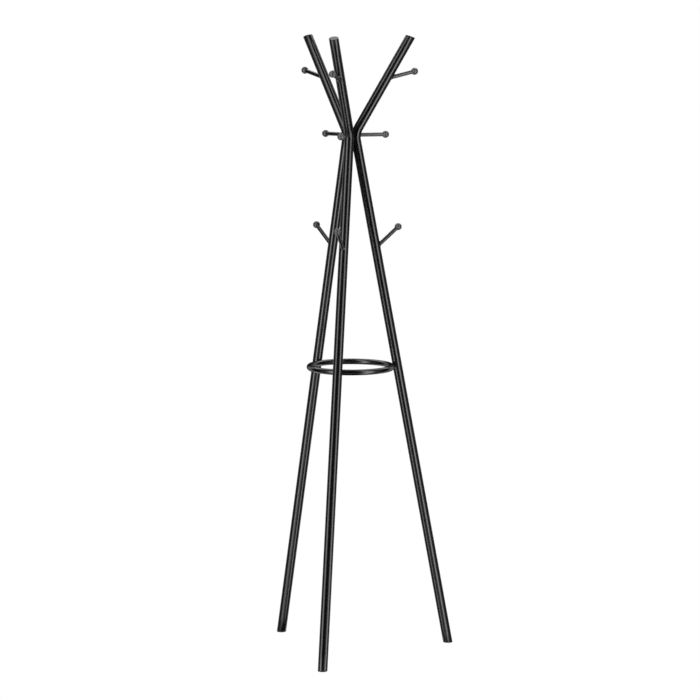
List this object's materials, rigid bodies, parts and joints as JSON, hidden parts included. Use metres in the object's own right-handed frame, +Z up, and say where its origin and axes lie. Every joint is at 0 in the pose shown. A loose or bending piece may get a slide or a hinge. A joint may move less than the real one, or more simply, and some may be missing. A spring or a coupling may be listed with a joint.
{
  "type": "standing coat rack",
  "caption": "Freestanding tripod coat rack of bent steel tube with ball-ended pegs and an umbrella ring.",
  "frame": {"origin": "on the floor, at the rack's vertical centre line", "axes": "+Z up along the centre line; the front leg points along -Y, the right leg 30 degrees behind +X and the left leg 30 degrees behind -X"},
  "size_m": [0.5122, 0.4471, 1.6897],
  "materials": {
    "black_paint": "satin black powder coat on steel",
    "black_ball": "black moulded plastic ball with a soft satin sheen",
    "black_plastic": "black moulded plastic, fine texture",
    "dark_steel": "oiled black steel, hidden inside the waist"
  },
  "bodies": {
    "root": {"leg_tube_front": "black_paint", "foot_cap_front": "black_plastic", "top_plug_front": "black_plastic", "upper_peg_rod_front": "black_paint", "upper_peg_ball_front": "black_ball", "waist_peg_rod_front": "black_paint", "waist_peg_ball_front": "black_ball", "lower_peg_rod_front": "black_paint", "lower_peg_ball_front": "black_ball", "leg_tube_right": "black_paint", "foot_cap_right": "black_plastic", "top_plug_right": "black_plastic", "upper_peg_rod_right": "black_paint", "upper_peg_ball_right": "black_ball", "waist_peg_rod_right": "black_paint", "waist_peg_ball_right": "black_ball", "lower_peg_rod_right": "black_paint", "lower_peg_ball_right": "black_ball", "leg_tube_left": "black_paint", "foot_cap_left": "black_plastic", "top_plug_left": "black_plastic", "upper_peg_rod_left": "black_paint", "upper_peg_ball_left": "black_ball", "waist_peg_rod_left": "black_paint", "waist_peg_ball_left": "black_ball", "lower_peg_rod_left": "black_paint", "lower_peg_ball_left": "black_ball", "umbrella_ring": "black_paint", "ring_pins": "black_paint", "upper_peg_welds": "black_paint", "lower_peg_welds": "black_paint", "waist_hub": "dark_steel"}
  },
  "joints": []
}
